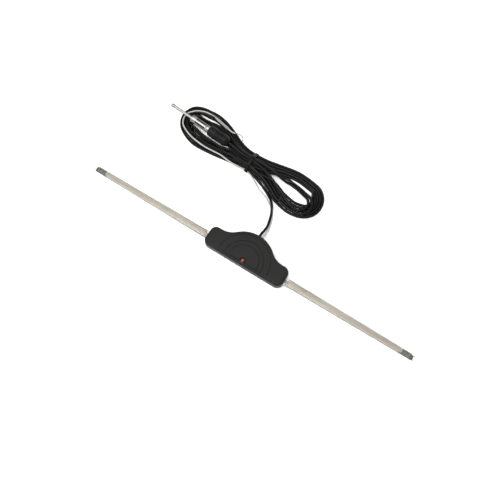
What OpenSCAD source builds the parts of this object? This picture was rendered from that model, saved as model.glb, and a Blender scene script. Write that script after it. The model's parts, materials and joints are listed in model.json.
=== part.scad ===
// Amplified stick-on windscreen antenna: a small amplifier housing between two
// flexible strip elements, with a coaxial lead in a tied hank, a power lead and
// an aerial plug. X runs along the strips, +Y is the side the cords leave from,
// and z = 0 is the sticky face that goes on the glass.

/* [Housing] */
// Width of the housing along the strips
case_w = 90; // [86:1:100]
// Depth from the straight front edge to the back of the bulge
case_d = 36; // [34:1:38]
// Height of the housing above the glass
case_h = 11; // [11:0.5:14]
// Depth of the two wings
wing_d = 22; // [20:0.5:23]
// Radius of the rounded bulge, centred on the indicator lamp
bulge_r = 31.2; // [30:0.1:32]
// Corner radius of the wings
corner_r = 6.5; // [4:0.5:8]
// Radius of the hollow where a wing meets the bulge
flank_r = 20; // [14:1:22]
// Wall thickness of the cover
wall = 1.6; // [1.2:0.1:2]
// Height of each of the three round steps around the lamp
step_h = 0.35; // [0.2:0.05:0.5]

/* [Strips] */
// Length of the whole antenna from tip to tip
span = 375; // [300:5:420]
// Width of a strip where it enters the housing
strip_root_w = 8.4; // [7:0.1:9]
// Width of a strip at its tip
strip_tip_w = 6.2; // [5:0.1:7]
// Thickness of a strip's plastic sleeve
strip_t = 2.6; // [2.2:0.1:3]
// Length of the grey band near the tip
band_l = 9.5; // [6:0.5:14]

/* [Cords] */
// Diameter of the coaxial lead
coax_d = 2.8; // [2.5:0.1:3]
// Diameter of the power lead
power_d = 1.6; // [1.2:0.1:1.6]

/* [Plug] */
// Radius of the slotted metal shell
shell_r = 4; // [3.8:0.05:4.2]
// Radius of the grip
grip_r = 6; // [5:0.1:6]
// Radius of the centre pin's shaft
pin_r = 1.5; // [1.3:0.05:1.7]
// Radius of the centre pin's tip
tip_r = 2; // [1.8:0.05:2.2]

/* [Hidden] */

$fn = 48;
gap = 0.05;                             // clearance between pieces that sit together
led_y = case_d / 2 - bulge_r;           // the lamp is the centre of the bulge
front_y = -case_d / 2;
wing_y = front_y + wing_d;              // back edge of the wings
strip_y = front_y + wing_d / 2;         // centre line of the strips
pad_t = 1;                              // foam pad under the housing and tape under the strips
base_t = 1.6;
floor_z = pad_t + base_t;               // inside floor of the housing
ceiling_z = case_h - wall;
step_radii = [27.5, 20.5, 16];
dome_z = case_h - 0.4;                  // centre of the lamp's round end
board_z = 4;
board_t = 1.2;
board_top = board_z + board_t;
screw_x = 19;
screw_y = 4.8;

// Strip: everything is placed from the housing's end wall and the tip
tip_x = span / 2;
wall_x = case_w / 2;
hinge_x = wall_x + 6;                   // line where the strip flexes
hinge_gap = 1.2;
sleeve_in = wall_x - 9;                 // inner end of the sleeve
conductor_in = wall_x - 12;
band_end = tip_x - 3.6;
band_start = band_end - band_l;
skin = 0.6;                             // wall of the sleeve

// Cord exits in the back wall
exit_y = case_d / 2;
exit_z = 6;
power_x = 3.2;
coax_r = coax_d / 2;
power_r = power_d / 2;

// Hank: lobes of one layer, a pinched waist of two and three
layer_1 = coax_d;
layer_2 = 2 * coax_d;
layer_3 = 9.3;
tie_x = -51.5;
tie_w = 4;
tie_t = 0.8;
tie_y = 85.8;
tie_inner = 12.4;                       // half of the tie's inner width
waist_y = 86.2;
waist_r = 10.8;

// Plug: it lies on the hank, turned a little from the X axis
plug_at = [-82, 89, 8.9];
plug_yaw = 175;
grip_l = 26;
shell_l = 24;
tip_end = 78.5;
slot_turn = -18;                        // turn of the first pair of slots in the shell

// Routes of the free cords, as points that a smooth curve passes through
coax_route = [
    [0, 18, 6], [0, 22, 5.9], [0.5, 27, 4.6], [0.3, 33, 2.5], [-1.4, 40, 1.5],
    [-3.6, 47, 1.8], [-6.8, 53, 3.1], [-11, 58.4, 3], [-16.8, 62.8, 1.6],
    [-25, 67.3, 1.4], [-30, 69.4, 1.4]
];
tail_route = [[-65, 86.5, 7.7], [-72, 87.6, 8.3], [-77, 88.5, 8.8], plug_at];
power_route = [
    [3.2, 18, 6], [3.2, 22, 5.7], [3.3, 27, 3.8], [2.7, 33, 1.5], [0.9, 40, 0.85],
    [-1.5, 46, 0.8], [-6.4, 51.8, 0.8], [-12.6, 56.4, 0.85], [-18.7, 60.2, 0.85],
    [-24.8, 62.3, 0.85], [-31, 65, 0.85], [-37.4, 68.9, 0.85], [-44, 72.3, 1],
    [-51.5, 74.4, 1.6], [-60, 73.9, 2.6], [-68, 73.2, 3.5], [-75, 73.7, 3.9],
    [-83, 74.9, 3.7], [-91, 74.7, 3.6], [-100, 74.2, 3.6], [-107.5, 74.5, 3.6],
    [-115.5, 75.5, 3.6], [-123, 77, 3.6], [-131.5, 80.2, 3.6], [-138.3, 84.7, 3.6],
    [-141.8, 91.5, 3.6], [-141.2, 98.4, 3.6], [-137, 104, 3.6], [-131.7, 107.5, 3.6],
    [-125, 109.9, 3.7], [-118.5, 110.2, 3.7], [-111.9, 109.3, 4.3], [-102.7, 107, 4.5],
    [-93, 105, 4.4], [-88.5, 104.2, 3.9], [-84.5, 104.7, 3.7]
];
bare_route = [
    [-84.5, 104.7, 3.7], [-81, 106.4, 3], [-77.5, 106.6, 2.5], [-74.8, 104.9, 3],
    [-73, 102, 3.6], [-73.2, 100, 3.75]
];
sleeve_route = [
    [-112.5, 109.3, 4.4], [-108, 108.3, 4.5], [-102.7, 107, 4.5], [-97, 105.8, 4.5],
    [-92.5, 104.9, 4.4]
];

// ---- Curves and tubes ----
function unit(v) = v / norm(v);
function point(p, i) = p[max(0, min(len(p) - 1, i))];
function blend(a, b, c, d, t) =
    (2 * b + (c - a) * t + (2 * a - 5 * b + 4 * c - d) * t * t
    + (3 * b - 3 * c + d - a) * t * t * t) / 2;
function smooth(p, n) = concat(
    [for (i = [0:len(p) - 2], k = [0:n - 1])
        blend(point(p, i - 1), p[i], p[i + 1], point(p, i + 2), k / n)],
    [p[len(p) - 1]]
);
function along(p, i) = unit(point(p, i + 1) - point(p, i - 1));
function across(t) = unit(cross(t, [0, 0, 1]));
function ring(c, t, r, n) = [
    for (k = [0:n - 1])
        c + r * cos(360 * k / n) * across(t) + r * sin(360 * k / n) * cross(across(t), t)
];
module tube(path, r, n = 8) {
    last = len(path) - 1;
    polyhedron(
        points = [for (i = [0:last], v = ring(path[i], along(path, i), r, n)) v],
        faces = concat(
            [[for (k = [n - 1:-1:0]) k]],
            [for (i = [0:last - 1], k = [0:n - 1])
                [i * n + k, i * n + (k + 1) % n, (i + 1) * n + (k + 1) % n, (i + 1) * n + k]],
            [[for (k = [0:n - 1]) last * n + k]]
        )
    );
}

// ---- Housing outline, drawn a given distance inside its outer edge ----
module flank(inset) {
    reach = bulge_r + flank_r;
    rise = wing_y + flank_r - led_y;
    cx = sqrt(reach * reach - rise * rise);
    meet = [0, led_y] + (bulge_r - inset) / reach * [cx, rise];
    difference() {
        polygon([[0, wing_y - 4], [cx, wing_y - 4], [cx, wing_y - inset], meet, [0, meet[1]]]);
        translate([cx, wing_y + flank_r])
            circle(r = flank_r + inset, $fn = 96);
    }
}

module outline(inset = 0) {
    r = corner_r - inset;
    x = wall_x - corner_r;
    for (sx = [-x, x], y = [front_y + corner_r, wing_y - corner_r])
        translate([sx, y])
            circle(r = r);
    translate([-x, front_y + inset])
        square([2 * x, wing_d - 2 * inset]);
    translate([-wall_x + inset, front_y + corner_r])
        square([case_w - 2 * inset, wing_d - 2 * corner_r]);
    intersection() {
        translate([0, led_y])
            circle(r = bulge_r - inset, $fn = 120);
        translate([-x, front_y + inset])
            square([2 * x, case_d]);
    }
    flank(inset);
    mirror([1, 0])
        flank(inset);
}

module slab(inset, z0, z1) {
    translate([0, 0, z0])
        linear_extrude(z1 - z0)
            outline(inset);
}

module both_sides() {
    children();
    mirror([1, 0, 0])
        children();
}

module post(x, y, z0, z1, r) {
    translate([x, y, z0])
        cylinder(r = r, h = z1 - z0);
}

// A hole or rod that runs along Y
module rod_y(x, z, y0, y1, r) {
    translate([x, y0, z])
        rotate([-90, 0, 0])
            cylinder(r = r, h = y1 - y0);
}

module block(x0, x1, y0, y1, z0, z1) {
    translate([x0, y0, z0])
        cube([x1 - x0, y1 - y0, z1 - z0]);
}

// One round step on the top, cut off where it would pass the housing's edge
module round_step(r, rise) {
    translate([0, 0, case_h - 0.3])
        linear_extrude(rise + 0.3)
            intersection() {
                outline(2.4);
                translate([0, led_y])
                    circle(r = r, $fn = 96);
            }
}

module top_cover() {
    notch = strip_root_w / 2 + 0.1;
    color("#2f2f2e")
    difference() {
        union() {
            slab(0, pad_t, case_h - 1.8);
            slab(0.4, case_h - 1.8, case_h - 1.2);
            slab(1, case_h - 1.2, case_h - 0.6);
            slab(2, case_h - 0.6, case_h);
            for (i = [0:2])
                round_step(step_radii[i], (i + 1) * step_h);
        }
        difference() {
            slab(wall, 0, ceiling_z);
            both_sides()
                post(screw_x, screw_y, floor_z + gap, case_h, 2.2);
        }
        both_sides()
            post(screw_x, screw_y, 0, 7.6, 1.03);
        post(0, led_y, ceiling_z - 1, case_h + 3, 2.6);
        both_sides()
            block(wall_x - 3, wall_x + 1, strip_y - notch, strip_y + notch, 0, pad_t + strip_t + 0.1);
        block(-2.2, 5.4, exit_y - 4, exit_y + 1, 0, 8.2);
    }
}

module base_plate() {
    notch = strip_root_w / 2 + 0.2;
    color("#262626")
    difference() {
        union() {
            slab(wall + 0.15, pad_t, floor_z);
            both_sides()
                for (y = [-13.8, -0.4])
                    post(28, y, floor_z - gap, board_z, 1.3);
        }
        both_sides()
            block(conductor_in - 0.3, wall_x + 1, strip_y - notch, strip_y + notch, 0, case_h);
        both_sides()
            post(screw_x, screw_y, 0, case_h, 1.15);
        both_sides()
            post(screw_x, screw_y, 0, pad_t + 1, 2.05);
    }
}

module adhesive_pad() {
    color("#e8e6df")
    difference() {
        slab(2.2, 0, pad_t);
        both_sides()
            block(sleeve_in - 0.5, wall_x + 1, strip_y - 5, strip_y + 5, -1, pad_t + 1);
    }
}

module case_screws() {
    color("silver")
    both_sides()
    difference() {
        union() {
            post(screw_x, screw_y, pad_t + 0.05, pad_t + 0.95, 1.9);
            post(screw_x, screw_y, pad_t + 0.9, 7, 1);
        }
        block(screw_x - 1.2, screw_x + 1.2, screw_y - 0.2, screw_y + 0.2, 0, pad_t + 0.5);
        block(screw_x - 0.2, screw_x + 0.2, screw_y - 1.2, screw_y + 1.2, 0, pad_t + 0.5);
    }
}

// ---- Electronics ----
module circuit_board() {
    color("#2c5a3a")
    difference() {
        union() {
            block(-32, 32, -15.6, 1.2, board_z, board_top);
            block(-13, 13, 1, 7.4, board_z, board_top);
        }
        for (x = [-1.27, 1.27])
            post(x, led_y, board_z - 1, board_top + 1, 0.4);
    }
}

module amplifier_transistor() {
    color("#1d1d1f")
    union() {
        block(10, 13, -8, -4.6, board_top + 0.3, board_top + 1.4);
        for (x = [10.3, 12.1])
            block(x, x + 0.6, -8.8, -7.9, board_top, board_top + 0.7);
        block(11.2, 11.8, -4.7, -3.8, board_top, board_top + 0.7);
    }
}

module choke_coil() {
    color("#6d4a2a")
    translate([-10, -5, board_top])
    difference() {
        cylinder(r = 3.2, h = 2.6);
        translate([0, 0, -1])
            cylinder(r = 1.4, h = 5);
    }
}

module electrolytic_capacitor() {
    color("#3a3d48")
    union() {
        post(21, -9, board_top, board_top + 0.6, 2.2);
        post(21, -9, board_top + 0.5, board_top + 3.6, 2);
    }
}

module chips(places, length, width, height) {
    for (p = places)
        translate([p[0], p[1], board_top])
            cube([length, width, height]);
}

module chip_capacitors() {
    color("#b98d5a")
    chips([[-20, -3], [-20, -8], [4, -2], [15, -2.5]], 2, 1.25, 0.8);
}

module chip_resistors() {
    color("#22252a")
    chips([[-16, -12], [-24, -12], [6, -11], [15, -13], [-4, 3]], 1.6, 0.8, 0.5);
}

module led_lens() {
    color("#c8201c")
    translate([0, led_y, 0])
    rotate_extrude()
    union() {
        translate([0, board_top + 0.6])
            square([2.5, dome_z - board_top - 0.6]);
        translate([0, board_top + 0.6])
            square([2.9, 0.9]);
        intersection() {
            translate([0, dome_z])
                circle(r = 2.5);
            translate([0, dome_z - gap])
                square([3, 3]);
        }
    }
}

module led_leads() {
    color("silver")
    for (x = [-1.27, 1.27])
        post(x, led_y, board_z, board_top + 0.6, 0.25);
}

// ---- Cord entry ----
module cable_bush() {
    color("#1b1b1b")
    difference() {
        union() {
            block(-2.1, 5.3, exit_y - 2, exit_y, floor_z + gap, 8.1);
            block(-3, 6.2, exit_y - 3.2, exit_y - 2.2, floor_z + gap, 8.8);
            block(-2.1, 5.3, exit_y - 2.3, exit_y - 1.9, floor_z + gap, 8.1);
        }
        rod_y(0, exit_z, exit_y - 5, exit_y + 1, coax_r + 0.02);
        rod_y(power_x, exit_z, exit_y - 5, exit_y + 1, power_r + 0.02);
    }
}

module cord_anchor() {
    color("#303030")
    difference() {
        block(-3.2, 6.4, 10.2, 13.2, floor_z + gap, 8.4);
        rod_y(0, exit_z, 9, 14, coax_r + 0.02);
        rod_y(power_x, exit_z, 9, 14, power_r + 0.02);
    }
}

module coax_inner_end() {
    color("#161616")
    rod_y(0, exit_z, 9, exit_y, coax_r);
}

module coax_core_wire() {
    color("#e9e4d8")
    union() {
        rod_y(0, exit_z, 5.6, 9, 0.7);
        rod_y(0, exit_z, 3.6, 5.7, 0.25);
        post(0, 3.8, board_top, exit_z, 0.25);
    }
}

module coax_braid_tail() {
    color("#a8a49c")
    union() {
        rod_y(0.95, exit_z - 0.4, 6.4, 9, 0.22);
        post(0.95, 6.6, board_top, exit_z - 0.4, 0.22);
    }
}

module power_inner_wire() {
    color("#cfcac0")
    union() {
        rod_y(power_x, exit_z, 5, exit_y, power_r);
        post(power_x, 5.4, board_top, exit_z, 0.4);
    }
}

// ---- Strips, drawn for the right side and mirrored for the left ----
function strip_half(x, inset) =
    (strip_root_w + (strip_tip_w - strip_root_w) * (x - wall_x) / (tip_x - wall_x)) / 2 - inset;

module strip_bar(x0, x1, inset, z0, z1) {
    a = strip_half(x0, inset);
    b = strip_half(x1, inset);
    translate([0, strip_y, z0])
        linear_extrude(z1 - z0)
            polygon([[x0, -a], [x1, -b], [x1, b], [x0, a]]);
}

module sleeve(x0, x1, hollow0, hollow1) {
    color("#d8d3c6", 0.5)
    difference() {
        strip_bar(x0, x1, 0, pad_t, pad_t + strip_t);
        strip_bar(hollow0, hollow1, skin, pad_t + skin, pad_t + strip_t - skin);
    }
}

module conductor(x0, x1) {
    color("#b9ad98")
    strip_bar(x0, x1, skin + gap, pad_t + skin + gap, pad_t + strip_t - skin - gap);
}

module sleeve_root() {
    sleeve(sleeve_in, hinge_x - hinge_gap / 2, sleeve_in - 1, hinge_x);
}

module conductor_root() {
    conductor(conductor_in, hinge_x - hinge_gap / 2);
}

module sleeve_arm() {
    sleeve(hinge_x + hinge_gap / 2, tip_x, hinge_x, band_end + gap);
}

module conductor_arm() {
    conductor(hinge_x + hinge_gap / 2, band_start - gap);
}

module end_band() {
    color("#5c5c58")
    strip_bar(band_start, band_end, skin + gap, pad_t + skin + gap, pad_t + strip_t - skin - gap);
}

module tape() {
    color("#efece3")
    strip_bar(hinge_x + hinge_gap / 2, tip_x - 1.5, 0.8, 0, pad_t);
}

module contact_lug() {
    top = pad_t + strip_t - skin - gap;
    color("#b08d4a")
    block(conductor_in + 0.3, conductor_in + 1.4, strip_y - 2, strip_y + 2, top, board_z);
    color("#b08d4a")
    block(30.5, conductor_in + 1.4, strip_y - 2, strip_y + 2, board_z - 0.4, board_z);
}

module left_side() {
    mirror([1, 0, 0])
        children();
}

// ---- Free cords ----
module coax_lead() {
    color("#141414")
    tube(smooth(coax_route, 2), coax_r);
}

module plug_tail() {
    color("#141414")
    tube(tail_route, coax_r);
}

module power_lead() {
    color("#c9c6bd")
    tube(smooth(power_route, 2), power_r);
}

module lead_sleeve() {
    color("#8d8b84")
    tube(smooth(sleeve_route, 2), 1.6);
}

module lead_bare_end() {
    color("#9a9890")
    tube(smooth(bare_route, 3), 0.45);
}

module disc(x, y, r) {
    translate([x, y])
        circle(r = r, $fn = 32);
}

module hank_outline() {
    hull() {
        disc(-128, 98, 18);
        disc(-111, 90.4, 20.5);
        disc(-112, 97, 18.7);
        disc(-80, 88.2, 15.7);
    }
    hull() {
        disc(-80, 88.2, 15.7);
        disc(tie_x, waist_y, waist_r);
    }
    hull() {
        disc(tie_x, waist_y, waist_r);
        disc(3, 82.6, 20.8);
        disc(11, 77.3, 21.2);
        disc(17.2, 80, 20.3);
    }
}

module hank_openings() {
    hull() {
        disc(-121, 94.5, 7);
        disc(-86, 88.4, 2.2);
    }
    hull() {
        disc(10, 82, 8);
        disc(-22, 84.6, 2.2);
    }
}

module cord_hank() {
    color("#171717")
    difference() {
        union() {
            linear_extrude(layer_1)
            difference() {
                hank_outline();
                hank_openings();
            }
            translate([0, 0, layer_1 - gap])
                linear_extrude(layer_2 - layer_1 + gap)
                    hull() {
                        disc(-66, 86, 9);
                        disc(-36, 84.5, 9);
                    }
            translate([0, 0, layer_2 - gap])
                linear_extrude(layer_3 - layer_2 + gap)
                    hull() {
                        disc(-60, 84.5, 5.5);
                        disc(-42, 84.5, 5.5);
                        disc(-22, 79.2, 1.8);
                    }
        }
        block(tie_x - tie_w / 2 - 0.1, tie_x + tie_w / 2 + 0.1, 60, 110, -1, tie_t + gap);
    }
}

module cord_tie() {
    outer = tie_inner + tie_t;
    color("#101010")
    translate([tie_x - tie_w / 2, tie_y, 0])
    difference() {
        block(0, tie_w, -outer, outer, 0, layer_3 + 0.2 + tie_t);
        block(-1, tie_w + 1, -tie_inner, tie_inner, tie_t, layer_3 + 0.2);
    }
}

// ---- Plug, drawn along +X and then laid on the hank ----
module plug_place() {
    translate(plug_at)
        rotate([0, 0, plug_yaw])
            children();
}

// Turned piece: the polygon's points are [place along the axis, radius]
module turned(profile) {
    rotate([0, 90, 0])
        rotate_extrude()
            polygon([for (p = profile) [p[1], p[0]]]);
}

module rod_x(x0, x1, r) {
    translate([x0, 0, 0])
        rotate([0, 90, 0])
            cylinder(r = r, h = x1 - x0);
}

module plug_grip() {
    color("#151515")
    plug_place()
    difference() {
        turned([
            [0, 0], [0, 3.4], [2.5, grip_r - 0.6], [6, grip_r], [12, grip_r], [12.5, grip_r - 0.6],
            [14, grip_r - 0.6], [14.5, grip_r], [21, grip_r], [grip_l, grip_r - 1], [grip_l, 0]
        ]);
        rod_x(-1, 14, coax_r + 0.03);
        rod_x(13.9, grip_l + 1, 2.6);
    }
}

module plug_cable_end() {
    color("#161616")
    plug_place()
    union() {
        rod_x(0, 13.8, coax_r);
        rod_x(13.7, 22, 0.8);
    }
}

module plug_shell() {
    color("silver")
    plug_place()
    difference() {
        union() {
            rod_x(22, grip_l + shell_l, shell_r - 0.25);
            rod_x(22, grip_l - 1, 2.55);
            rod_x(grip_l + gap, grip_l + 4, shell_r);
            rod_x(grip_l + shell_l - 5, grip_l + shell_l, shell_r);
        }
        difference() {
            rod_x(21, grip_l + gap, 9);
            rod_x(20, grip_l + 1, 2.55);
        }
        rod_x(grip_l + 1.5, grip_l + shell_l + 1, shell_r - 0.8);
        rod_x(20, grip_l + 2, 1.6);
        for (a = [0, 60, 120])
            rotate([slot_turn + a, 0, 0])
                block(grip_l + 5.5, grip_l + shell_l - 6.5, -6, 6, -1, 1);
    }
}

module plug_insulator() {
    color("#1c1c1c")
    plug_place()
    difference() {
        union() {
            rod_x(grip_l + 1.55, grip_l + 5, shell_r - 0.85);
            rod_x(grip_l + 4.9, grip_l + shell_l - 6, shell_r - 0.95);
        }
        rod_x(grip_l, grip_l + shell_l, pin_r + 0.02);
    }
}

module plug_pin() {
    color("gainsboro")
    plug_place()
    turned([
        [24, 0], [24, 1.1], [grip_l + 2, 1.1], [grip_l + 2, pin_r], [tip_end - 5, pin_r],
        [tip_end - 4.4, tip_r], [tip_end - 1.4, tip_r], [tip_end, 0.8], [tip_end, 0]
    ]);
}

top_cover();
base_plate();
adhesive_pad();
case_screws();
circuit_board();
amplifier_transistor();
choke_coil();
electrolytic_capacitor();
chip_capacitors();
chip_resistors();
led_lens();
led_leads();
cable_bush();
cord_anchor();
coax_inner_end();
coax_core_wire();
coax_braid_tail();
power_inner_wire();
left_side() sleeve_root();  // left_sleeve_root
left_side() conductor_root();  // left_conductor_root
left_side() contact_lug();  // left_contact_lug
sleeve_root();  // right_sleeve_root
conductor_root();  // right_conductor_root
contact_lug();  // right_contact_lug
left_side() sleeve_arm();  // left_sleeve
left_side() conductor_arm();  // left_conductor
left_side() end_band();  // left_end_band
left_side() tape();  // left_tape
sleeve_arm();  // right_sleeve
conductor_arm();  // right_conductor
end_band();  // right_end_band
tape();  // right_tape
coax_lead();
cord_hank();
cord_tie();
plug_tail();
power_lead();
lead_sleeve();
lead_bare_end();
plug_grip();
plug_cable_end();
plug_shell();
plug_insulator();
plug_pin();
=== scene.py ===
"""Looks of the stick-on amplified antenna: housing, two flexible strips, cords in a tied hank, aerial plug.

Everything is in the CAD's frame: X along the strips, +Y the side the cords leave from, z = 0 the sticky
face. Sizes are written in millimetres, and mm() turns them into metres.
"""

import json
import math

import bmesh
import bpy
from mathutils import Matrix, Vector


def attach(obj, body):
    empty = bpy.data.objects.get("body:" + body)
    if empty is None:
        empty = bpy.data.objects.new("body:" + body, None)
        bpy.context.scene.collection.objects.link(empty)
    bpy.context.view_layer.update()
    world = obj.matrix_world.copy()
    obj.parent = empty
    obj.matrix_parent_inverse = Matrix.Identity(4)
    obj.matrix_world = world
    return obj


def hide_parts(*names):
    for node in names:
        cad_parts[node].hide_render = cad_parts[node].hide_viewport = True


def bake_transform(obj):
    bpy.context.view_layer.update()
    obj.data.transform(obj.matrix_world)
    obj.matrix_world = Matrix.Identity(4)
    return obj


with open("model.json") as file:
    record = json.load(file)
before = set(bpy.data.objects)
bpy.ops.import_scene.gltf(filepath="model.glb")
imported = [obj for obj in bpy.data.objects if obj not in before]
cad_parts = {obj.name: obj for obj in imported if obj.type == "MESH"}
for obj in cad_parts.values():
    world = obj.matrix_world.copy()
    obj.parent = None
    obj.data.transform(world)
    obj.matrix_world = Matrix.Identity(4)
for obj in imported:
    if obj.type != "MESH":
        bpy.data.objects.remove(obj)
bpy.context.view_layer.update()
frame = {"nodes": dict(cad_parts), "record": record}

MM = 0.001
HOUSING = "housing"


def mm(*values):
    return Vector(values) * MM


# ---------------------------------------------------------------- sizes (mm)
CASE_W, CASE_D, CASE_H = 90.0, 36.0, 11.0
WING_D = 22.0
BULGE_R, CORNER_R, FLANK_R = 31.2, 6.5, 20.0
WALL = 1.6
STEP_H = 0.35
STEP_RADII = (27.5, 20.5, 16.0)
STEP_SOFT, STEP_FADE = 0.35, 1.2
PAD_T = 1.0
FRONT_Y = -CASE_D / 2
WING_Y = FRONT_Y + WING_D
LED_Y = CASE_D / 2 - BULGE_R
STRIP_Y = FRONT_Y + WING_D / 2
WALL_X = CASE_W / 2

TIP_X = 187.5
STRIP_ROOT_W, STRIP_TIP_W, STRIP_T = 8.4, 6.2, 2.6
BAND_START, BAND_END = 174.4, 183.9

COAX_D, POWER_D = 2.8, 1.6
COAX_EXIT, POWER_EXIT = (0, CASE_D / 2, 6), (3.2, CASE_D / 2, 6)
PLUG_AT = Vector((-82, 89, 8.9))
PLUG_YAW = 175
SLOT_ROLL = math.radians(-18)
TIE_X, TIE_W = -51.5, 4.0


# ---------------------------------------------------------------- camera
def look_from(azimuth, elevation, distance, target, lens):
    """Camera right is turned by azimuth from +X; elevation is above the floor."""
    az, el = math.radians(azimuth), math.radians(elevation)
    right = Vector((math.cos(az), math.sin(az), 0))
    ahead = Vector((-math.sin(az), math.cos(az), 0))
    back = -ahead * math.cos(el) + Vector((0, 0, math.sin(el)))
    up = back.cross(right)
    camera = bpy.data.objects.new("camera", bpy.data.cameras.new("camera"))
    turn = Matrix((right, up, back)).transposed().to_4x4()
    camera.matrix_world = Matrix.Translation(target + back * distance) @ turn
    camera.data.lens = lens
    camera.data.sensor_width = 36
    camera.data.clip_start = 0.01
    bpy.context.scene.collection.objects.link(camera)
    bpy.context.scene.camera = camera


look_from(azimuth=32.1, elevation=72, distance=0.5614, target=mm(-1.63, 2.75, 0), lens=40.11)


# ---------------------------------------------------------------- curves
def smoothstep(x, start, end):
    v = min(1.0, max(0.0, (x - start) / (end - start)))
    return v * v * (3 - 2 * v)


def catmull(a, b, c, d, t):
    """The place at t, 0 to 1, on a smooth curve from b to c, whose neighbours are a and d."""
    return (2 * b + (c - a) * t + (2 * a - 5 * b + 4 * c - d) * t * t
            + (3 * b - 3 * c + d - a) * t ** 3) / 2


def smooth(points, steps):
    """A smooth line through the points, with steps pieces between neighbours."""
    p = [Vector(q) for q in points]
    last = len(p) - 1
    line = []
    for i in range(last):
        near = (p[max(i - 1, 0)], p[i], p[i + 1], p[min(i + 2, last)])
        line += [catmull(*near, k / steps) for k in range(steps)]
    return line + [p[-1]]


def circle(x, y, r, angles):
    return [Vector((x + r * math.cos(math.radians(a)), y + r * math.sin(math.radians(a)))) for a in angles]


def cord_curve(name, line, diameter, sides=4):
    """An open curve of round section along a line in mm."""
    data = bpy.data.curves.new(name, "CURVE")
    data.dimensions = "3D"
    data.bevel_depth = diameter / 2 * MM
    data.bevel_resolution = sides
    data.use_fill_caps = True
    spline = data.splines.new("POLY")
    spline.points.add(len(line) - 1)
    for point, place in zip(spline.points, line):
        point.co = (*mm(*place), 1)
    spline.use_smooth = True
    obj = bpy.data.objects.new(name, data)
    bpy.context.scene.collection.objects.link(obj)
    return obj


# ---------------------------------------------------------------- hank of coaxial lead
# The outermost lane, from the tie round the left lobe, back through the tie and round the right lobe.
# Inner lanes lie LANE_PITCH further inside, and each turn ends one lane further in than it began.
LANE_PITCH = 2.86
OUTER_LANE = [Vector(p) for p in (
    (-51.5, 77), (-63, 75.8), (-75, 74.4), (-90, 72.5), (-106, 71.3), (-118.5, 71.8),
    (-130, 76), (-137.4, 80.7), (-142.5, 87), (-144.8, 94.9), (-143.6, 102.7), (-139.3, 109.5),
    (-131, 113.3), (-121.4, 114.3), (-111, 114.5), (-99, 111.8), (-86, 106.2), (-74, 100.2),
    (-63, 96.7), (-51.5, 95.4), (-36, 96.6), (-18, 99.8), (0, 101.8),
    (19.8, 99.2), (28.1, 95.4), (33.9, 88.2), (36.1, 79.2), (34.2, 70), (28.2, 62.7), (19.4, 58.6),
    (8, 57.5), (-4, 60), (-15, 63.8), (-28, 69.4), (-40, 73.3))]
# A place along a lane is a number of stations from the tie, and there are as many as points above.
STATIONS = len(OUTER_LANE)
KNOTS_PER_STATION = 2
FULL_TURNS = 5
LAST_FLAT = 30.8
NEXT_LANE = (31.2, 33.2)
# Where the strands spread apart or slide over each other: the stretch of stations (from, fully from,
# fully to, to), and how many lanes inward each turn moves there.
SHIFTS = (
    ((3.7, 5, 5.3, 7), (0, 0.06, 0.13, 0.22, 0.32)),
    ((11, 13.1, 13.3, 15.5), (0, 0.15, 0.35, 1.25, 1.3)),
    ((19.7, 20.9, 21.8, 25.6), (0, 0, 0, 0, -1.5)),
    ((26.6, 29, 30.2, 32.1), (0, 0.15, 0.3, 0.45, 0.6)))
# The tie lifts the strands that it passes under, at these distances from its middle.
TIE_RISE, TIE_REACH = 0.8, (3, 16)
# On the back run the third to fifth turns lie on the others: the stations, and the x of each climb.
BACK_START, PAST_TIE, SLIDES_OFF, BACK_END = 12, 19.3, 21, 25
CLIMB_X, FIFTH_CLIMB_X = (-86, -76), (-90, -76)
COME_DOWN_X = {2: (-48, -39), 3: (-43, -34)}

COAX_ROUTE = [
    COAX_EXIT, (0, 22, 5.9), (0.5, 27, 4.6), (0.3, 33, 2.5), (-1.4, 40, 1.5), (-3.6, 47, 1.8),
    (-6.8, 53, 3.1), (-11, 58.4, 3), (-16.8, 62.8, 1.6), (-25, 67.3, 1.4), (-34, 71.1, 1.5),
    (-41.5, 73.7, 1.8)]
# The sixth turn climbs out of the innermost lane and rides on the others: (station, lane, height)
SIXTH_TURN = [
    (31.2, 4.5, 1.4), (31.6, 4.42, 1.5), (32, 4.4, 2.2), (32.5, 4.1, 3.9), (33, 3.4, 4.3),
    (33.5, 2.5, 4.3), (34, 1.6, 4.5), (34.5, 0.9, 4.8), (35, 0.5, 5), (35.5, 0.55, 4.8), (36, 0.8, 4.5),
    (36.5, 1.3, 4.3), (37, 2, 4.2), (37.5, 2.7, 4.2), (38, 3.5, 4), (38.6, 4.1, 4), (39.3, 4.6, 4),
    (40, 4.8, 4), (40.6, 4.7, 4), (41.2, 4.3, 4), (42, 3.8, 4), (43, 3.6, 3.9), (44, 3.6, 3.9),
    (45, 3.75, 3.9), (46, 4, 3.9), (47, 4.2, 3.9), (48, 4.5, 3.9), (48.8, 4.6, 4), (49.4, 4.7, 3.8),
    (50, 4.6, 3.8), (50.5, 4.65, 3.8), (51, 5, 3.9), (51.5, 5, 4.2), (52, 5, 4.2), (53, 5, 4.6),
    (54, 5, 5), (55, 4.75, 4.6), (55.5, 4.3, 4), (56, 3.9, 2.2), (56.4, 4.05, 1.5)]
FIRST_LOOSE = [(-4, 88.7, 1.4), (2, 88, 1.4), (8, 86.8, 1.7), (14, 84.9, 2.7)]
FIRST_LOOSE += [(p.x, p.y, 4.2) for p in circle(15.2, 71.8, 12.5, (60, 38, 16, -6, -28, -50, -70))]
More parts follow.
